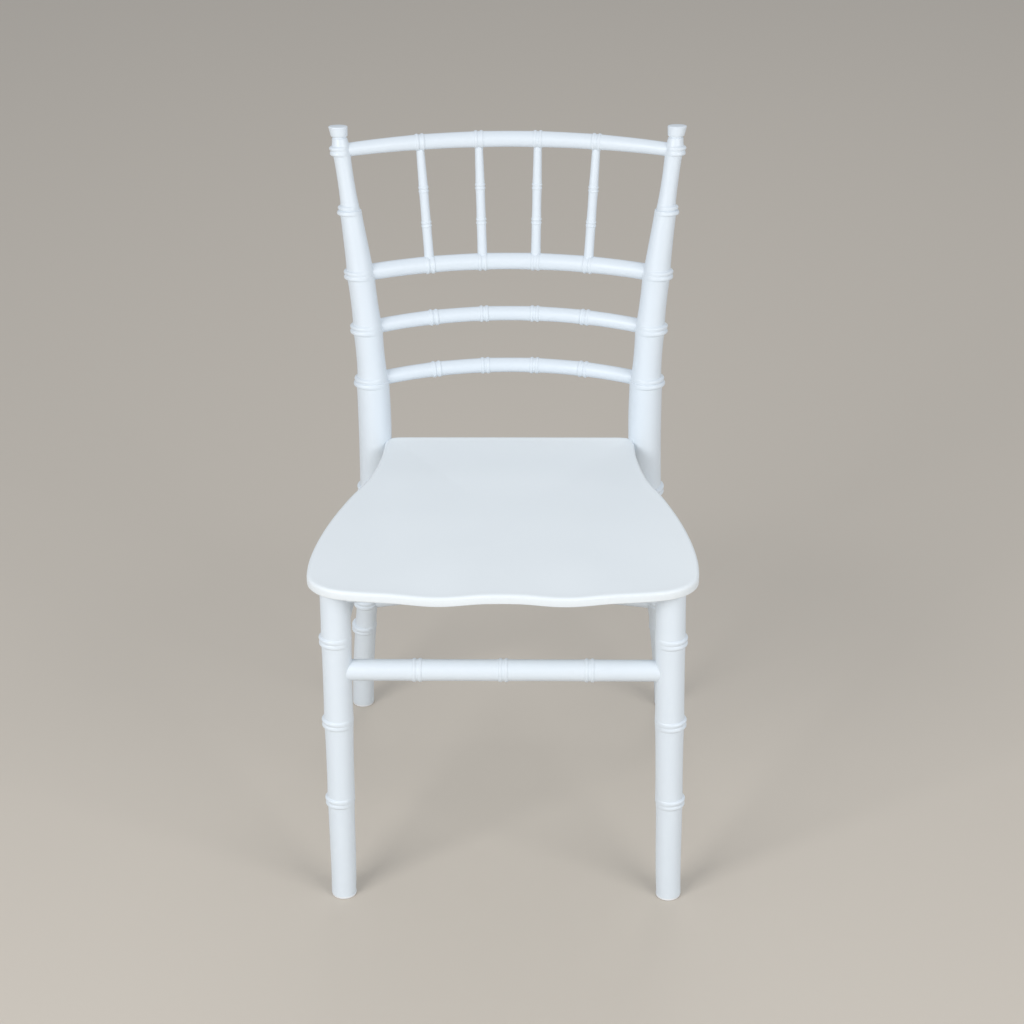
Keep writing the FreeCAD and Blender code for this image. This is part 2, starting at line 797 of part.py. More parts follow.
def build():
    """Every sub-part in its place, as a table of node name to shape."""
    post, leg = back_post(1), front_leg(1)
    posts, legs = both_sides([post]), both_sides([leg])
    rails = make_back_rails()
    spindles = [spindle(index, rails["upper_back_rail"], rails["top_rail"]) for index in range(spindle_count)]
    front_stretcher = make_front_stretcher()
    rear_stretcher = make_rear_stretcher()
    side_stretcher = make_side_stretcher()
    leg_bolt = FrameBolt(frame_point(FRONT_LEGS[1]), front_culm_radii[-1][1], leg)
    post_bolt = FrameBolt(frame_point(POSTS[1]), post_radius_at_frame(), post)
    front_foot = at_height(FRONT_LEGS[1], glide_height)[0]
    rear_foot = at_height(POSTS[1], glide_height)[0]
    nodes = {}

    def add_pair(name, shape):
        nodes[name + "_left"] = mirrored(shape)
        nodes[name + "_right"] = shape

    post_cuts = [rail.sockets[1] for rail in rails.values()] + post_bolt.stick_cuts
    post_cuts += [rear_stretcher.sockets[1], side_stretcher.sockets[1], glide_hole(rear_foot)]
    add_pair("back_post", post.cut(post_cuts))
    leg_cuts = [front_stretcher.sockets[1], side_stretcher.sockets[0], glide_hole(front_foot)]
    leg_cuts += leg_bolt.stick_cuts + [side_rail_tenons(spigot_gap)[0]]
    add_pair("front_leg", leg.cut(leg_cuts))

    for name, rail in rails.items():
        nodes[name] = rail.fitted(posts)
    nodes["upper_back_rail"] = nodes["upper_back_rail"].cut([each.sockets[0] for each in spindles])
    nodes["top_rail"] = nodes["top_rail"].cut([each.sockets[1] for each in spindles])
    spindle_ends = [rails["upper_back_rail"].raw, rails["top_rail"].raw]
    for index, member in enumerate(spindles):
        nodes["spindle_%d" % (index + 1)] = member.fitted(spindle_ends)
    nodes["front_stretcher"] = front_stretcher.fitted(legs)
    nodes["rear_stretcher"] = rear_stretcher.fitted(posts)
    add_pair("side_stretcher", side_stretcher.fitted([leg, post]))

    screw_holes = [seat_screw(place, seat_screw_gap) for place in seat_screw_places()]
    front_rail = rail_box(frame_point(FRONT_LEGS[-1]), frame_point(FRONT_LEGS[1]), seat_rail_width)
    rear_rail = rail_box(frame_point(POSTS[-1]), frame_point(POSTS[1]), seat_rail_width)
    side_rail = rail_box(*side_rail_ends(), side_rail_width).cut([leg, front_rail, rear_rail])
    side_rail = side_rail.multiFuse(list(side_rail_tenons(0)))
    add_pair("seat_rail", side_rail.cut(screw_holes))
    nodes["seat_rail_front"] = front_rail.cut(legs + both_sides(leg_bolt.rail_cuts) + screw_holes)
    rear_cuts = both_sides(post_bolt.rail_cuts + [side_rail_tenons(spigot_gap)[1]])
    nodes["seat_rail_rear"] = rear_rail.cut(posts + rear_cuts)
    nodes["seat_pan"] = seat_pan().cut(legs + both_sides([side_rail]) + [front_rail, rear_rail] + screw_holes)

    nodes["seat_screws"] = Part.makeCompound([seat_screw(place, 0) for place in seat_screw_places()])
    nodes["frame_bolts"] = Part.makeCompound(both_sides([leg_bolt.bolt, post_bolt.bolt]))
    nodes["barrel_nuts"] = Part.makeCompound(both_sides([leg_bolt.nut, post_bolt.nut]))
    nodes["bolt_plugs"] = Part.makeCompound(both_sides([leg_bolt.plug, post_bolt.plug]))
    add_pair("front_foot_glide", glide(front_foot, front_culm_radii[0][0]))
    add_pair("rear_foot_glide", glide(rear_foot, post_culm_radii[0][0]))
    return nodes


os.makedirs("parts", exist_ok=True)
for node_name, node_shape in build().items():
    node_shape.exportStep(os.path.join("parts", node_name + ".step"))
    print("%-24s %2d solids %9.0f mm3 valid %s" % (
        node_name, len(node_shape.Solids), node_shape.Volume, node_shape.isValid()
    ))
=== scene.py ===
# The looks of a white moulded bamboo-pattern banquet chair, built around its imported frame.
# Lengths are millimetres where a name is a size, and go to metres through MM. The chair faces -Y.
import math

import bmesh
import bpy
import numpy as np
from mathutils import Matrix, Vector


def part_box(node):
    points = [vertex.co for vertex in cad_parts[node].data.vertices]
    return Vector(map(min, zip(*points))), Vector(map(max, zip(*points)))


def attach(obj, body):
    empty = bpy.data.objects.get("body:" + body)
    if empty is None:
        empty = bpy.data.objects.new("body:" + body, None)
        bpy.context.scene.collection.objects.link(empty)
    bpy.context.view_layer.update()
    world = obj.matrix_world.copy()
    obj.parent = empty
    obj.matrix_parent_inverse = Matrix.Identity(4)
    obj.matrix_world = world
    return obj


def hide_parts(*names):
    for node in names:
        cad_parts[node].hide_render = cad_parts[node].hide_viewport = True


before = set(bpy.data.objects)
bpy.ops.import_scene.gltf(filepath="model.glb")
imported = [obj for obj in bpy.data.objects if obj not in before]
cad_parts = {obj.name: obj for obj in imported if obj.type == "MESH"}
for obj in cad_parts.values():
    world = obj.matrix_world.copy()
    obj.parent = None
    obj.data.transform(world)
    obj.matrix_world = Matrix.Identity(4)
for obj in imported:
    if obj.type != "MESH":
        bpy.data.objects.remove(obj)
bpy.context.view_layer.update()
scene = bpy.context.scene
MM = 0.001
SIDES = (("left", -1), ("right", 1))

# Sizes shared with the frame
rear_stretcher_height = 178.0
side_stretcher_front_height = 351.6
side_stretcher_rear_height = 359.0
lower_rail_height = 512.6
middle_rail_height = 581.6
upper_rail_height = 652.0
top_rail_height = 807.0
front_stretcher_height = 310.5
post_ring_heights = (
    134.6, rear_stretcher_height, 268.0, side_stretcher_rear_height,
    lower_rail_height, middle_rail_height, upper_rail_height, 733.5, top_rail_height,
)
leg_ring_heights = (133.6, 241.5, side_stretcher_front_height)
glide_height = 3.0
seat_plate_underside = 422.5
seat_height = 434.5
seat_rear_setback = 389.6
chair_height = 838.0
back_bow = 41.0
back_rise = 2.5
rear_stretcher_bow = 25.0
rail_rings_per_spacing = 5.7
spindle_count = 4
spindle_ring_heights = (704.0, 748.0)

# Back rails as (height, radius at the ends, radius in the middle, rise of the bow above its ends)
back_rails = {
    "lower_back_rail": (lower_rail_height, 9.3, 9.3, back_rise),
    "middle_back_rail": (middle_rail_height, 9.2, 9.2, back_rise),
    "upper_back_rail": (upper_rail_height, 10.5, 10.5, 0),
    "top_rail": (top_rail_height, 8.4, 10.0, 0),
}

# Stretchers as (radius, number of rings, distance from ring to ring)
front_stretcher_size = (13.0, 3, 102.3)
rear_stretcher_size = (11.0, 3, 98.0)
side_stretcher_size = (10.5, 2, 112.0)

# Spindle radii at the foot, in the middle and at the top
spindle_radii = (6.3, 5.7, 4.9)

# Beads as (pitch, radius, proud in front, extra proud outwards, depth of the valley between the two).
# They sink into the inner side of a post or leg.
post_beads = (7.4, 3.0, 1.6, 2.1, 0.55)
leg_beads = (7.4, 3.1, 1.25, 1.35, 0.55)
rail_beads = (7.0, 2.9, 1.2, 0.0, 1.0)
spindle_beads = (4.6, 2.0, 0.7, 0.0, 1.0)
bead_softness = 0.3
stick_flare = 0.4
rail_flare = 0.25
flare_length = 11.0

# Shares of a rail, a spindle and a stretcher that lie inside what they are joined to
rail_buried = 0.014
spindle_buried = 0.03
stretcher_buried = 0.02

# How finely the sticks are drawn: sides of the circle, and the longest step along a plain stretch
upright_sides = 48
stretcher_sides = 44
rail_sides = 40
spindle_sides = 32
upright_step = 11.0
rail_step = 9.0
spindle_step = 7.0

# Angles in degrees from which an edge is shaded sharp, on cut or closed pieces and on swept ones
cut_edge_angle = 50
swept_edge_angle = 40

# Posts and legs run on past where they are cut level, at the glide and under the seat
foot_overrun = 8.0
head_overrun = 6.0
foot_edge = 0.8

# Heights between which posts and legs are read from the frame, and how far from a ring that stays
section_foot = 12.0
leg_section_head = 414.0
section_clearance = 12.0

# Finial: radii from the shoulder on the top ring to the cup, then the heights of its cup, groove, edge
# and crown
finial_shoulder = 10.6
finial_collar = 9.7
finial_waist = 9.4
finial_neck = 8.2
finial_cup_foot = 10.3
finial_cup = 11.8
finial_cup_height = 13.5
finial_groove = 2.2
finial_edge = 1.2
finial_crown = 0.8

# Seat in plan, from the middle of the front edge round the right side to the middle of the rear edge,
# as (half width, setback behind the line between the front feet)
seat_outline = (
    (0, -25), (75, -26.5), (150, -22), (200, -12.5), (225.8, 10.5), (230.6, 46),
    (226.4, 96), (213.9, 157.4), (194.5, 221), (174, 274), (162.5, 330), (159.8, 360),
    (158.8, 377), (154.5, 387.5), (144, 391.8), (120, 392.3), (60, 392.4), (0, 392.5),
)
seat_top_round = 3.6
seat_bottom_round = 1.8
seat_crest = 5.0
seat_rim_fall = 0.3
seat_dish = 4.5
seat_points_per_span = 8
seat_top_scales = (0.05, 0.12, 0.2, 0.28, 0.36, 0.44, 0.52, 0.6, 0.68, 0.76, 0.83, 0.89, 0.94, 0.975)
# Rings of the underside as (scale, share of the thigh wave)
seat_underside_rings = ((0.97, 0.8), (0.94, 0.4), (0.9, 0), (0.6, 0), (0.3, 0), (0.05, 0))
thigh_dip = 3.3
thigh_dip_spacing = 152.0
thigh_dip_half_width = 62.0
thigh_dip_run = 130.0


# Camera, set by the photograph's angle
def make_camera():
    focal_pixels = 2898.59
    image_side = 1024
    sensor = 36.0
    pitch = math.radians(27.650)
    yaw = math.radians(-1.611)
    roll = math.radians(0.652)
    place = Vector((0.0956, -3.1814, 2.0745))
    forward = Vector((math.sin(yaw) * math.cos(pitch), math.cos(yaw) * math.cos(pitch), -math.sin(pitch)))
    right = Vector((math.cos(yaw), -math.sin(yaw), 0))
    down = forward.cross(right)
    level_right = right * math.cos(roll) + down * math.sin(roll)
    level_down = down * math.cos(roll) - right * math.sin(roll)
    data = bpy.data.cameras.new("photo_camera")
    data.sensor_width = sensor
    data.lens = focal_pixels / image_side * sensor
    camera = bpy.data.objects.new("photo_camera", data)
    turn = Matrix((level_right, -level_down, -forward)).transposed()
    camera.matrix_world = Matrix.Translation(place) @ turn.to_4x4()
    scene.collection.objects.link(camera)
    scene.camera = camera


# Light and floor
def add_area_lamp(name, place, target, size, power):
    data = bpy.data.lights.new(name, "AREA")
    data.shape = "SQUARE"
    data.size = size
    data.energy = power
    lamp = bpy.data.objects.new(name, data)
    lamp.location = place
    lamp.rotation_euler = (Vector(target) - Vector(place)).to_track_quat("-Z", "Y").to_euler()
    scene.collection.objects.link(lamp)


def make_studio():
    seat_middle = (0.0, 0.0, 0.4)
    add_area_lamp("key_lamp", (-1.9, -2.5, 1.9), seat_middle, 1.6, 60.0)
    add_area_lamp("fill_lamp", (2.1, -2.3, 1.9), seat_middle, 1.8, 42.0)
    add_area_lamp("back_lamp", (0.3, 2.4, 2.8), seat_middle, 1.6, 10.0)
    world = bpy.data.worlds.new("studio")
    world.use_nodes = True
    background = world.node_tree.nodes["Background"]
    background.inputs["Color"].default_value = (0.93, 0.96, 1.0, 1)
    background.inputs["Strength"].default_value = 0.55
    scene.world = world
    scene.view_settings.view_transform = "Standard"


def make_floor():
    half = 12.0
    mesh = bpy.data.meshes.new("floor")
    corners = [(-half, -half, 0), (half, -half, 0), (half, half, 0), (-half, half, 0)]
    mesh.from_pydata(corners, [], [(0, 1, 2, 3)])
    floor = bpy.data.objects.new("floor", mesh)
    scene.collection.objects.link(floor)
    material = bpy.data.materials.new("pale_floor")
    material.use_nodes = True
    surface = material.node_tree.nodes["Principled BSDF"]
    surface.inputs["Base Color"].default_value = (0.57, 0.52, 0.455, 1)
    surface.inputs["Roughness"].default_value = 0.55
    mesh.materials.append(material)


# Materials
def group_input(group, name, kind, value):
    item = group.interface.new_socket(name=name, in_out="INPUT", socket_type=kind)
    item.default_value = value


def make_moulded_skin():
    """Slow flow shading and a fine grain, as moulding leaves them, as colour, roughness and height."""
    group = bpy.data.node_groups.new("moulded_skin", "ShaderNodeTree")
    group_input(group, "Tint", "NodeSocketColor", (0.8, 0.8, 0.8, 1))
    group_input(group, "Flow Tint", "NodeSocketColor", (0.75, 0.76, 0.78, 1))
    group_input(group, "Flow Scale", "NodeSocketFloat", 7.0)
    group_input(group, "Grain Scale", "NodeSocketFloat", 900.0)
    group_input(group, "Gloss Low", "NodeSocketFloat", 0.25)
    group_input(group, "Gloss High", "NodeSocketFloat", 0.4)
    results = {"Color": "NodeSocketColor", "Roughness": "NodeSocketFloat", "Height": "NodeSocketFloat"}
    for name, kind in results.items():
        group.interface.new_socket(name=name, in_out="OUTPUT", socket_type=kind)
    nodes, links = group.nodes, group.links
    entry, leave = nodes.new("NodeGroupInput"), nodes.new("NodeGroupOutput")
    place = nodes.new("ShaderNodeTexCoord")
    flow = nodes.new("ShaderNodeTexNoise")
    flow.inputs["Detail"].default_value = 3.0
    flow.inputs["Distortion"].default_value = 0.6
    grain = nodes.new("ShaderNodeTexNoise")
    grain.inputs["Detail"].default_value = 2.0
    for texture, scale in ((flow, "Flow Scale"), (grain, "Grain Scale")):
        links.new(place.outputs["Object"], texture.inputs["Vector"])
        links.new(entry.outputs[scale], texture.inputs["Scale"])
    blend = nodes.new("ShaderNodeMix")
    blend.data_type = "RGBA"
    links.new(flow.outputs["Fac"], blend.inputs["Factor"])
    links.new(entry.outputs["Tint"], blend.inputs["A"])
    links.new(entry.outputs["Flow Tint"], blend.inputs["B"])
    gloss = nodes.new("ShaderNodeMapRange")
    links.new(flow.outputs["Fac"], gloss.inputs["Value"])
    links.new(entry.outputs["Gloss Low"], gloss.inputs["To Min"])
    links.new(entry.outputs["Gloss High"], gloss.inputs["To Max"])
    gloss.inputs["From Min"].default_value = 0.3
    gloss.inputs["From Max"].default_value = 0.7
    links.new(blend.outputs["Result"], leave.inputs["Color"])
    links.new(gloss.outputs["Result"], leave.inputs["Roughness"])
    links.new(grain.outputs["Fac"], leave.inputs["Height"])
    return group


def make_finish(name, skin, tint, flow_tint, gloss, flow_scale, grain_scale, grain_depth, metallic=0.0):
    """A material whose colour, roughness and grain come from the shared skin group."""
    material = bpy.data.materials.new(name)
    material.use_nodes = True
    nodes, links = material.node_tree.nodes, material.node_tree.links
    surface = nodes["Principled BSDF"]
    surface.inputs["Metallic"].default_value = metallic
    group = nodes.new("ShaderNodeGroup")
    group.node_tree = skin
    group.inputs["Tint"].default_value = tint + (1,)
    group.inputs["Flow Tint"].default_value = flow_tint + (1,)
    group.inputs["Gloss Low"].default_value = gloss[0]
    group.inputs["Gloss High"].default_value = gloss[1]
    group.inputs["Flow Scale"].default_value = flow_scale
    group.inputs["Grain Scale"].default_value = grain_scale
    bump = nodes.new("ShaderNodeBump")
    bump.inputs["Strength"].default_value = 0.35
    bump.inputs["Distance"].default_value = grain_depth * MM
    links.new(group.outputs["Color"], surface.inputs["Base Color"])
    links.new(group.outputs["Roughness"], surface.inputs["Roughness"])
    links.new(group.outputs["Height"], bump.inputs["Height"])
    links.new(bump.outputs["Normal"], surface.inputs["Normal"])
    return material


def smooth(mesh):
    """Smooth shading, apart from the sharp edges of a cut."""
    for face in mesh.polygons:
        face.use_smooth = True
    mesh.set_sharp_from_angle(angle=math.radians(cut_edge_angle))


# Geometry trees
class Tree:
    """A geometry tree under construction, with short ways to add sockets, nodes and sums of any kind."""

    def __init__(self, name, inputs):
        self.group = bpy.data.node_groups.new(name, "GeometryNodeTree")
        for label, kind in inputs:
            self.group.interface.new_socket(name=label, in_out="INPUT", socket_type=kind)
        self.group.interface.new_socket(name="Result", in_out="OUTPUT", socket_type="NodeSocketGeometry")
        self.entry = self.group.nodes.new("NodeGroupInput").outputs
        self.leave = self.group.nodes.new("NodeGroupOutput").inputs

    def feed(self, value, socket):
        if isinstance(value, bpy.types.NodeSocket):
            self.group.links.new(value, socket)
        else:
            socket.default_value = value

    def node(self, kind, inputs=None, **settings):
        made = self.group.nodes.new(kind)
        for key, value in settings.items():
            setattr(made, key, value)
        for key, value in (inputs or {}).items():
            self.feed(value, made.inputs[key])
        return made.outputs

    def math(self, operation, *values):
        made = self.group.nodes.new("ShaderNodeMath")
        made.operation = operation
        for value, socket in zip(values, made.inputs):
            self.feed(value, socket)
        return made.outputs[0]

    def close(self, geometry, finish):
        """Ends the tree with real, smooth, painted faces."""
        real = self.node("GeometryNodeRealizeInstances", {"Geometry": geometry})["Geometry"]
        smooth = self.node("GeometryNodeSetShadeSmooth", {"Geometry": real})["Geometry"]
        painted = self.node("GeometryNodeSetMaterial", {"Geometry": smooth, "Material": finish})["Geometry"]
        self.feed(painted, self.leave["Result"])
        return self.group


scratch_attributes = ("plain_radius", "ring", "bead", "centre", "axis")


def grown(name, mesh, group, values):
    """Runs a geometry tree on a mesh and keeps what comes out as a plain object."""
    piece = bpy.data.objects.new(name, mesh)
    scene.collection.objects.link(piece)
    modifier = piece.modifiers.new(group.name, "NODES")
    modifier.node_group = group
    for item in group.interface.items_tree:
        if item.in_out == "INPUT" and item.name in values:
            modifier[item.identifier] = values[item.name]
    graph = bpy.context.evaluated_depsgraph_get()
    result = bpy.data.meshes.new_from_object(piece.evaluated_get(graph))
    piece.modifiers.clear()
    piece.data = result
    result.name = name
    bpy.data.meshes.remove(mesh)
    for extra in [item.name for item in result.attributes if item.name in scratch_attributes]:
        result.attributes.remove(result.attributes[extra])
    result.set_sharp_from_angle(angle=math.radians(swept_edge_angle))
    return piece


def make_stick_tree():
    """Sweeps a circle along a line, with a flare and two beads at each ring point. The beads stand out most
    towards Outward. Level, from 0 to 1, turns the circles so that they lie level from side to side."""
    sizes = (
        "Bead Pitch", "Bead Radius", "Bead Proud", "Outer Proud", "Bead Softness", "Bead Valley",
        "Level", "Flare", "Flare Length",
    )
    # The line comes first, because a modifier hands its mesh to the first geometry input
    inputs = [("Line", "NodeSocketGeometry")]
    inputs += [(label, "NodeSocketFloat") for label in sizes]
    inputs += [
        ("Outward", "NodeSocketVector"), ("Sides", "NodeSocketInt"), ("Finish", "NodeSocketMaterial"),
    ]
    tree = Tree("bamboo_stick", inputs)
    entry = tree.entry

    def vector(operation, result, *values):
        inputs = dict(enumerate(values))
        return tree.node("ShaderNodeVectorMath", inputs, operation=operation)[result]

    def scaled(value, factor):
        return tree.node("ShaderNodeVectorMath", {0: value, "Scale": factor}, operation="SCALE")["Vector"]

    def stored(name, kind="FLOAT"):
        return tree.node("GeometryNodeInputNamedAttribute", {"Name": name}, data_type=kind)["Attribute"]

    def store(geometry, name, value, kind="FLOAT"):
        inputs = {"Geometry": geometry, "Name": name, "Value": value}
        return tree.node("GeometryNodeStoreNamedAttribute", inputs, data_type=kind)["Geometry"]

    marked = tree.node("FunctionNodeCompare", {0: stored("ring"), 1: 0.5}, operation="GREATER_THAN")
    chosen = {"Geometry": entry["Line"], "Selection": marked["Result"]}
    rings = tree.node("GeometryNodeSeparateGeometry", chosen, domain="POINT")["Selection"]
    nearest = tree.node("GeometryNodeProximity", {"Geometry": rings}, target_element="POINTS")
    ring_distance = nearest["Distance"]
    past_crest = tree.math("SUBTRACT", ring_distance, tree.math("MULTIPLY", entry["Bead Pitch"], 0.5))
    in_valley = tree.math("MULTIPLY", past_crest, tree.math("MULTIPLY", entry["Bead Valley"], -1.0))
    from_crest = tree.math("MAXIMUM", past_crest, in_valley)
    bead_square = tree.math("POWER", entry["Bead Radius"], 2.0)
    square = tree.math("SUBTRACT", bead_square, tree.math("MULTIPLY", from_crest, from_crest))
    arc = tree.math("SQRT", tree.math("MAXIMUM", square, 0.0))
    sunk = tree.math("SUBTRACT", entry["Bead Radius"], entry["Bead Proud"])
    crown = tree.math("SMOOTH_MAX", tree.math("SUBTRACT", arc, sunk), 0.0, entry["Bead Softness"])
    bead = tree.math("DIVIDE", crown, entry["Bead Proud"])
    reach = tree.math("DIVIDE", ring_distance, entry["Flare Length"])
    fade = tree.math("EXPONENT", tree.math("MULTIPLY", tree.math("MULTIPLY", reach, reach), -1.0))
    radius = tree.math("ADD", stored("plain_radius"), tree.math("MULTIPLY", entry["Flare"], fade))
    centre = tree.node("GeometryNodeInputPosition")["Position"]
    line = store(store(entry["Line"], "bead", bead), "centre", centre, "FLOAT_VECTOR")
    sized = store(line, "plain_radius", radius)
    curve = tree.node("GeometryNodeMeshToCurve", {"Mesh": sized})["Curve"]
    curve = store(curve, "axis", tree.node("GeometryNodeInputTangent")["Tangent"], "FLOAT_VECTOR")
    circle = tree.node("GeometryNodeCurvePrimitiveCircle", {"Resolution": entry["Sides"], "Radius": 1.0})
    swept = tree.node("GeometryNodeCurveToMesh", {
        "Curve": curve, "Profile Curve": circle["Curve"],
        "Scale": stored("plain_radius"), "Fill Caps": True,
    })["Mesh"]
    place = tree.node("GeometryNodeInputPosition")["Position"]
    spoke = vector("SUBTRACT", "Vector", place, stored("centre", "FLOAT_VECTOR"))
    axis = stored("axis", "FLOAT_VECTOR")
    upright_axis = vector("NORMALIZE", "Vector", vector("MULTIPLY", "Vector", axis, (0.0, 1.0, 1.0)))
    below = vector("DOT_PRODUCT", "Value", spoke, upright_axis)
    slide = tree.math("DIVIDE", below, vector("DOT_PRODUCT", "Value", axis, upright_axis))
    slide = tree.math("MULTIPLY", slide, tree.math("MULTIPLY", entry["Level"], -1.0))
    levelling = scaled(axis, slide)
    spoke = vector("NORMALIZE", "Vector", spoke)
    facing = vector("DOT_PRODUCT", "Value", spoke, entry["Outward"])
    proud = tree.math("ADD", entry["Bead Proud"], tree.math("MULTIPLY", facing, entry["Outer Proud"]))
    swell = tree.math("MULTIPLY", tree.math("MAXIMUM", proud, 0.0), stored("bead"))
    push = vector("ADD", "Vector", scaled(spoke, swell), levelling)
    beaded = tree.node("GeometryNodeSetPosition", {"Geometry": swept, "Offset": push})["Geometry"]
    return tree.close(beaded, entry["Finish"])


# Reading round sticks from the frame
def curve_weights(places, place):
    """How much each place counts at another one, on the smoothest curve through them all."""
    weights = []
    for index, own in enumerate(places):
        weight = 1.0
        for other_index, other in enumerate(places):
            if other_index != index:
                weight *= (place - other) / (own - other)
        weights.append(weight)
    return weights


class FrameStick:
    """Centre line and plain radius of an upright stick, read from level sections of its node."""

    def __init__(self, node, ring_heights, foot, head=None):
        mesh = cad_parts[node].data
        self.points = np.array([vertex.co for vertex in mesh.vertices], float)
        self.edges = np.array([edge.vertices for edge in mesh.edges], int)
        self.rings = list(ring_heights)
        self.culms = []
        bounds = [foot] + self.rings + ([head] if head else [])
        for low, high in zip(bounds[:-1], bounds[1:]):
            keys = [low + section_clearance, (low + high) / 2, high - section_clearance]
            self.culms.append([(key,) + self.section(key * MM) for key in keys])
        self.keys = [key for culm in self.culms for key in culm]

    def section(self, level):
        heights = self.points[self.edges][:, :, 2] - level
        crossing = heights[:, 0] * heights[:, 1] < 0
        ends, drops = self.points[self.edges[crossing]], heights[crossing]
        share = (drops[:, 0] / (drops[:, 0] - drops[:, 1]))[:, None]
        cut = ends[:, 0] + (ends[:, 1] - ends[:, 0]) * share
        low, high = cut.min(0), cut.max(0)
        return (low + high) / 2, (high - low) / 2

    def centre(self, height):
        """A smooth curve through the centres of the sections."""
        keys = self.keys
        index = max(1, min(len(keys) - 3, sum(1 for key in keys if key[0] < height) - 1))
        around = keys[index - 1:index + 3]
        result = np.zeros(3)
        for key, weight in zip(around, curve_weights([key[0] for key in around], height)):
            result = result + key[1] * weight
        return Vector((result[0], result[1], height * MM))

    def direction(self, height):
        return (self.centre(height + 1) - self.centre(height - 1)).normalized()

    def radius(self, height, culm):
        """Plain radius in metres at a height, on the culm with that index."""
        lean = self.direction(height)
        result = 0.0
        keys = self.culms[culm]
        for key, weight in zip(keys, curve_weights([key[0] for key in keys], height)):
            across = key[2][0] * lean.z / math.sqrt(1 - lean.y ** 2)
            result += across * weight
        return result


# Lines for the stick tree: points, plain radii and ring marks. The offsets are in half lengths of a ring
ring_offsets = (
    0.04, 0.085, 0.135, 0.2, 0.28, 0.38, 0.48, 0.58, 0.68, 0.76, 0.84, 0.9, 0.95, 0.985, 1.015,
    1.07, 1.18, 1.36, 1.64, 2.0,
)


def ring_half_length(beads):
    pitch, radius, proud = beads[:3]
    return pitch / 2 + math.sqrt(radius ** 2 - (radius - proud) ** 2)


def stations_between(low, high, low_ring, high_ring, half, step):
    """Places along a plain stretch, close together beside the rings at its ends."""
    places = []
    reach = ring_offsets[-1] * half
    start = low + reach if low_ring else low
    end = high - reach if high_ring else high
    if low_ring:
        places += [low + offset * half for offset in ring_offsets[:-1]]
    count = max(1, round((end - start) / step))
    places += [start + (end - start) * index / count for index in range(count + 1)]
    if high_ring:
        places += [high - offset * half for offset in reversed(ring_offsets[:-1])]
    return places


def line_mesh(name, stations):
    """stations: (point, plain radius in metres, ring mark) from one end to the other."""
    mesh = bpy.data.meshes.new(name)
    edges = [(index, index + 1) for index in range(len(stations) - 1)]
    mesh.from_pydata([point for point, radius, mark in stations], edges, [])
    for label, column in (("plain_radius", 1), ("ring", 2)):
        attribute = mesh.attributes.new(label, "FLOAT", "POINT")
        attribute.data.foreach_set("value", [float(station[column]) for station in stations])
    return mesh


def grow_stick(name, stations, beads, sides, flare, outward=(1.0, 0.0, 0.0), level=0.0):
    values = {
        "Bead Pitch": beads[0] * MM, "Bead Radius": beads[1] * MM, "Bead Proud": beads[2] * MM,
        "Outer Proud": beads[3] * MM, "Bead Valley": beads[4], "Bead Softness": bead_softness * MM,
        "Outward": outward, "Level": level, "Flare": flare * MM, "Flare Length": flare_length * MM,
        "Sides": sides, "Finish": white_stick,
    }
    return grown(name, line_mesh(name, stations), stick_tree, values)


def upright_stations(stick, foot, head, tail, beads):
    """From below the foot through every ring of an upright stick, then on to its head."""
    half = ring_half_length(beads)
    bounds = [foot] + stick.rings + ([head] if head else [])
    stations = []
    for index, (low, high) in enumerate(zip(bounds[:-1], bounds[1:])):
        high_ring = high in stick.rings
        for place in stations_between(low, high, index > 0, high_ring, half, upright_step):
            stations.append((stick.centre(place), stick.radius(place, index), 0))
        if high_ring:
            after = min(index + 1, len(stick.culms) - 1)
            middle = (stick.radius(high, index) + stick.radius(high, after)) / 2
            stations.append((stick.centre(high), middle, 1))
    return stations + tail


def finial_tail(post):
    """Collar, neck and flared cup above the top ring, as (rise along the axis, radius)."""
    ring = top_rail_height
    base, axis = post.centre(ring), post.direction(ring)
    length = (chair_height - ring) / axis.z
    half = ring_half_length(post_beads)
    foot = length - finial_cup_height
    groove_foot = foot - finial_groove
    outline = [(offset * half, finial_shoulder) for offset in ring_offsets if offset < 1.1]
    outline += [
        (9.0, 10.3), (11.0, finial_collar + 0.2), (13.0, finial_collar),
        (groove_foot - 0.6, finial_waist), (groove_foot, finial_waist - 0.25),
        (foot - 0.8 * finial_groove, finial_neck + 0.1), (foot - 0.5 * finial_groove, finial_neck),
        (foot - 0.2 * finial_groove, finial_neck + 0.2), (foot, finial_cup_foot - 0.8),
        (foot + 0.25, finial_cup_foot - 0.25), (foot + 0.8, finial_cup_foot),
        (foot + 4.0, finial_cup_foot + 0.45), (foot + 8.0, finial_cup - 0.5),
        (length - 2.4, finial_cup - 0.06),
    ]
    crown_reach = finial_cup - finial_edge
    edge_middle = length - finial_crown - finial_edge
    for angle in (0, 22, 45, 68, 90):
        turn = math.radians(angle)
        rise = edge_middle + finial_edge * math.sin(turn)
        outline.append((rise, crown_reach + finial_edge * math.cos(turn)))
    for share in (0.85, 0.65, 0.45, 0.25, 0.08):
        outline.append((length - finial_crown * share ** 2, crown_reach * share))
    return [(base + axis * rise * MM, radius * MM, 0) for rise, radius in outline]


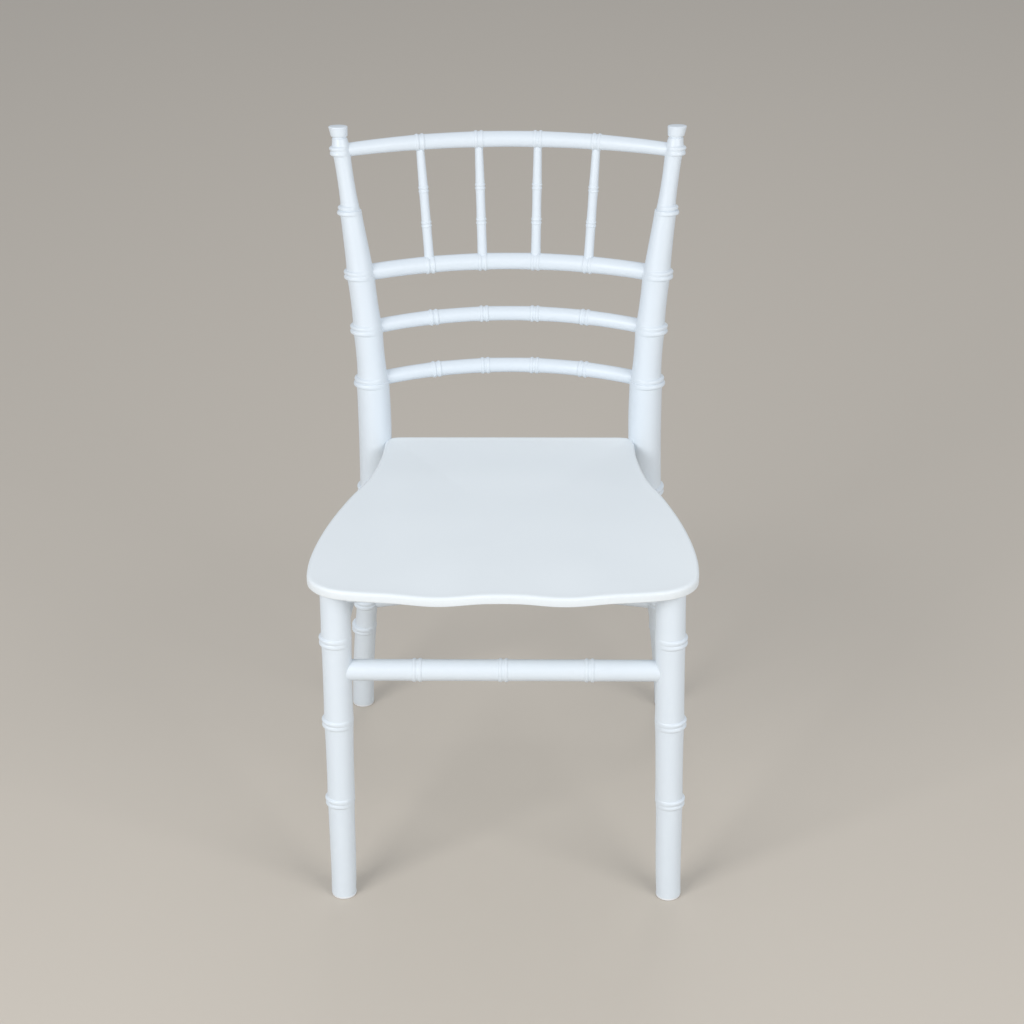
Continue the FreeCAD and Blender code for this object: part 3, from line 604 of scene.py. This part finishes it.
def trim(piece, level, facing, rounding=0.0):
    """Cuts a post or leg level at a height, drops what lies on the side of facing, and may round the edge."""
    work = bmesh.new()
    work.from_mesh(piece.data)
    everything = list(work.verts) + list(work.edges) + list(work.faces)
    cut = bmesh.ops.bisect_plane(
        work, geom=everything, dist=1e-7, plane_co=(0, 0, level), plane_no=(0, 0, facing), clear_outer=True
    )["geom_cut"]
    bmesh.ops.edgeloop_fill(work, edges=[item for item in cut if isinstance(item, bmesh.types.BMEdge)])
    if rounding:
        rim = [edge for edge in work.edges if all(abs(vertex.co.z - level) < 1e-6 for vertex in edge.verts)]
        bmesh.ops.bevel(
            work, geom=rim, offset=rounding, segments=3, profile=0.5, affect="EDGES", clamp_overlap=True
        )
    bmesh.ops.recalc_face_normals(work, faces=work.faces)
    work.to_mesh(piece.data)
    work.free()
    smooth(piece.data)


def finish_piece(piece, slot, *nodes):
    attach(piece, "root")
    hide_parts(*nodes)


# Uprights
def make_upright(node, side, stations, beads):
    """One back post or front leg, cut level at the glide."""
    piece = grow_stick(
        node + "_stick", stations, beads, upright_sides, stick_flare, outward=(side, 0.0, 0.0), level=1.0
    )
    trim(piece, glide_height * MM, -1, foot_edge * MM)
    return piece


def make_posts():
    posts = {}
    for name, side in SIDES:
        node = "back_post_" + name
        post = FrameStick(node, post_ring_heights, section_foot)
        stations = upright_stations(post, -foot_overrun, None, finial_tail(post), post_beads)
        piece = make_upright(node, side, stations, post_beads)
        finish_piece(piece, "white_stick", node)
        posts[side] = post
    return posts


def make_legs():
    legs = {}
    for name, side in SIDES:
        node = "front_leg_" + name
        leg = FrameStick(node, leg_ring_heights, section_foot, leg_section_head)
        over_top = seat_plate_underside + head_overrun
        stations = upright_stations(leg, -foot_overrun, over_top, [], leg_beads)
        piece = make_upright(node, side, stations, leg_beads)
        trim(piece, seat_plate_underside * MM, 1)
        finish_piece(piece, "white_stick", node)
        legs[side] = leg
    return legs


# Seat shell
def rounded_loop(points, points_per_span):
    """A smooth closed line through the points, with its outward normals, as arrays."""
    around = np.array(points, float)
    before, after, beyond = np.roll(around, 1, 0), np.roll(around, -1, 0), np.roll(around, -2, 0)
    places = []
    for index in range(points_per_span):
        t = index / points_per_span
        places.append(0.5 * (
            2 * around + (after - before) * t + (2 * before - 5 * around + 4 * after - beyond) * t ** 2
            + (3 * around - before - 3 * after + beyond) * t ** 3
        ))
    loop = np.stack(places, 1).reshape(-1, 2)
    tangent = np.roll(loop, -1, 0) - np.roll(loop, 1, 0)
    tangent /= np.linalg.norm(tangent, axis=1)[:, None]
    return loop, np.stack([tangent[:, 1], -tangent[:, 0]], 1)


def thigh_wave(places, front):
    """The front edge dips where the thighs rest, and the dip fades out towards the back."""
    across = np.abs(np.abs(places[:, 0]) - thigh_dip_spacing / 2) / thigh_dip_half_width
    run = np.clip((places[:, 1] - front) / thigh_dip_run, 0, 1)
    wave = 0.5 + 0.5 * np.cos(math.pi * np.minimum(across, 1))
    return -thigh_dip * wave * (1 - run) ** 2 * (1 + 2 * run)


def seat_section():
    """The edge of the plate as (inset, height), from its crest round the outside to the underside."""
    section = []
    for share in (1, 0.66, 0.33):
        section.append((seat_top_round + seat_crest * share, seat_height - seat_rim_fall * share ** 2))
    for angle in (90, 72, 54, 36, 18, 0):
        turn = math.radians(angle)
        rise = seat_top_round * (1 - math.sin(turn))
        section.append((seat_top_round * (1 - math.cos(turn)), seat_height - rise))
    section.append((0, (seat_height + seat_plate_underside) / 2))
    for angle in (0, 22.5, 45, 67.5, 90):
        turn = math.radians(angle)
        rise = seat_bottom_round * (1 - math.sin(turn))
        section.append((seat_bottom_round * (1 - math.cos(turn)), seat_plate_underside + rise))
    return section


def make_seat():
    """One closed shell of rings: the dished top, the rounded edge and the flat underside."""
    middle_setback = seat_rear_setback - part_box("seat_pan")[1][1] / MM
    right = [(half_width, setback - middle_setback) for half_width, setback in seat_outline]
    left = [(-x, y) for x, y in reversed(right[1:-1])]
    loop, normal = rounded_loop(right + left, seat_points_per_span)
    front = loop[:, 1].min()
    middle = np.array([0.0, (front + loop[:, 1].max()) / 2])
    rings = []

    def add_ring(places, height, wave_share):
        lifted = height + wave_share * thigh_wave(places, front)
        rings.append(np.column_stack([places, lifted]) * MM)

    shelf = seat_top_round + seat_crest
    inner = loop - normal * shelf
    for scale in seat_top_scales:
        dish = seat_dish * (1 - scale ** 2)
        add_ring(middle + (inner - middle) * scale, seat_height - seat_rim_fall - dish, scale)
    for inset, height in seat_section():
        add_ring(loop - normal * inset, height, 1)
    plate = loop - normal * seat_bottom_round
    for scale, wave_share in seat_underside_rings:
        add_ring(middle + (plate - middle) * scale, seat_plate_underside, wave_share)
    count = len(loop)
    points = np.concatenate(rings).tolist()
    faces = []
    for row in range(len(rings) - 1):
        for index in range(count):
            beside = (index + 1) % count
            near, far = row * count, (row + 1) * count
            faces.append((near + index, far + index, far + beside, near + beside))
    for row in (0, len(rings) - 1):
        pole = len(points)
        points.append(rings[row].mean(0).tolist())
        near = row * count
        faces += [(near + index, near + (index + 1) % count, pole) for index in range(count)]
    mesh = bpy.data.meshes.new("seat_shell")
    mesh.from_pydata(points, [], faces)
    work = bmesh.new()
    work.from_mesh(mesh)
    bmesh.ops.recalc_face_normals(work, faces=work.faces)
    work.to_mesh(mesh)
    work.free()
    smooth(mesh)
    mesh.materials.append(white_seat)
    seat = bpy.data.objects.new("seat_shell", mesh)
    scene.collection.objects.link(seat)
    finish_piece(seat, "white_seat", "seat_pan")


# Cross members
class Run:
    """A straight or bowed line between two points, in metres, by its share from 0 to 1."""

    def __init__(self, start, end, bow=Vector((0, 0, 0))):
        self.start, self.end = start, end
        self.middle = (start + end) / 2
        self.half = (end - start) / 2
        self.bow = bow
        if bow.length > 0:
            chord, rise = self.half.length, bow.length
            self.radius = (chord ** 2 + rise ** 2) / (2 * rise)
            self.angle = math.atan2(chord, self.radius - rise)
            self.length = 2 * self.radius * self.angle
        else:
            self.length = (end - start).length

    def point(self, share):
        if self.bow.length == 0:
            return self.start + (self.end - self.start) * share
        turn = self.angle * (2 * share - 1)
        along = self.half.normalized() * self.radius * math.sin(turn)
        return self.middle + along + self.bow.normalized() * (
            self.bow.length - self.radius * (1 - math.cos(turn))
        )


def ringed_run(node, run, radii, ring_shares, beads, sides, buried, step=rail_step):
    """A round bar along a run, with rings. The share buried lies inside what each end is joined to."""
    near, middle, far = radii

    def radius_at(share):
        outer = near if share < 0.5 else far
        return (outer + (middle - outer) * (1 - (1 - 2 * share) ** 2)) * MM

    unit = run.length / MM
    bounds = [buried * unit] + [share * unit for share in ring_shares] + [(1 - buried) * unit]
    half = ring_half_length(beads)
    stations = []
    for index, (low, high) in enumerate(zip(bounds[:-1], bounds[1:])):
        low_ring, high_ring = index > 0, index < len(bounds) - 2
        for place in stations_between(low, high, low_ring, high_ring, half, step):
            stations.append((run.point(place / unit), radius_at(place / unit), 0))
        if high_ring:
            stations.append((run.point(high / unit), radius_at(high / unit), 1))
    piece = grow_stick(node + "_stick", stations, beads, sides, rail_flare)
    finish_piece(piece, "white_stick", node)


def centred_shares(count, pitch):
    return [0.5 + (index - (count - 1) / 2) * pitch for index in range(count)]


def make_back_rails(posts):
    """The four bowed rails of the back. Each ends inside the posts."""
    rails = {}
    for node, (height, end_radius, radius, rise) in back_rails.items():
        tilt = math.atan2(rise, back_bow)
        bow = Vector((0, back_bow * math.cos(tilt), back_bow * math.sin(tilt))) * MM
        run = Run(posts[-1].centre(height), posts[1].centre(height), bow)
        shares = centred_shares(spindle_count, 1 / rail_rings_per_spacing)
        ringed_run(node, run, (end_radius, radius, end_radius), shares, rail_beads, rail_sides, rail_buried)
        rails[node] = (run, shares)
    return rails


def make_spindles(rails):
    upper, shares = rails["upper_back_rail"]
    top = rails["top_rail"][0]
    for index, share in enumerate(shares):
        foot, head = upper.point(share), top.point(share)
        run = Run(foot, head)
        places = [(height * MM - foot.z) / (head.z - foot.z) for height in spindle_ring_heights]
        node = "spindle_%d" % (index + 1)
        ringed_run(
            node, run, spindle_radii, places, spindle_beads, spindle_sides, spindle_buried, spindle_step
        )


def make_stretchers(posts, legs):
    front = Run(legs[-1].centre(front_stretcher_height), legs[1].centre(front_stretcher_height))
    rear_bow = Vector((0, rear_stretcher_bow * MM, 0))
    rear = Run(posts[-1].centre(rear_stretcher_height), posts[1].centre(rear_stretcher_height), rear_bow)
    plans = [
        ("front_stretcher", front, front_stretcher_size),
        ("rear_stretcher", rear, rear_stretcher_size),
    ]
    for name, side in SIDES:
        start = legs[side].centre(side_stretcher_front_height)
        end = posts[side].centre(side_stretcher_rear_height)
        plans.append(("side_stretcher_" + name, Run(start, end), side_stretcher_size))
    for node, run, (radius, count, pitch) in plans:
        shares = centred_shares(count, pitch * MM / run.length)
        radii = (radius, radius, radius)
        ringed_run(node, run, radii, shares, rail_beads, stretcher_sides, stretcher_buried)


def dress_frame_nodes():
    """Gives every node of the frame its finish, also those that a piece of this script stands in for."""
    finishes = {
        "seat_pan": white_seat, "bolt_plugs": plug_white,
        "frame_bolts": zinc, "barrel_nuts": zinc, "seat_screws": zinc,
    }
    for name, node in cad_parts.items():
        finish = finishes.get(name, nylon if "glide" in name else white_stick)
        if node.data.materials:
            node.data.materials[0] = finish
        else:
            node.data.materials.append(finish)


make_camera()
make_studio()
make_floor()
skin = make_moulded_skin()
stick_tree = make_stick_tree()
white_stick = make_finish(
    "white_stick_plastic", skin, tint=(0.715, 0.78, 0.838), flow_tint=(0.69, 0.755, 0.82),
    gloss=(0.36, 0.46), flow_scale=9.0, grain_scale=700.0, grain_depth=0.03,
)
white_seat = make_finish(
    "white_seat_plastic", skin, tint=(0.785, 0.835, 0.865), flow_tint=(0.76, 0.81, 0.845),
    gloss=(0.38, 0.5), flow_scale=6.0, grain_scale=1100.0, grain_depth=0.05,
)
plug_white = make_finish(
    "plug_plastic", skin, tint=(0.71, 0.78, 0.85), flow_tint=(0.685, 0.755, 0.83),
    gloss=(0.36, 0.46), flow_scale=40.0, grain_scale=900.0, grain_depth=0.03,
)
zinc = make_finish(
    "zinc_steel", skin, tint=(0.62, 0.63, 0.65), flow_tint=(0.5, 0.51, 0.54),
    gloss=(0.25, 0.42), flow_scale=60.0, grain_scale=1500.0, grain_depth=0.02, metallic=1.0,
)
nylon = make_finish(
    "glide_nylon", skin, tint=(0.83, 0.85, 0.87), flow_tint=(0.78, 0.80, 0.83),
    gloss=(0.35, 0.5), flow_scale=30.0, grain_scale=800.0, grain_depth=0.04,
)

dress_frame_nodes()
posts = make_posts()
legs = make_legs()
rails = make_back_rails(posts)
make_spindles(rails)
make_stretchers(posts, legs)
make_seat()
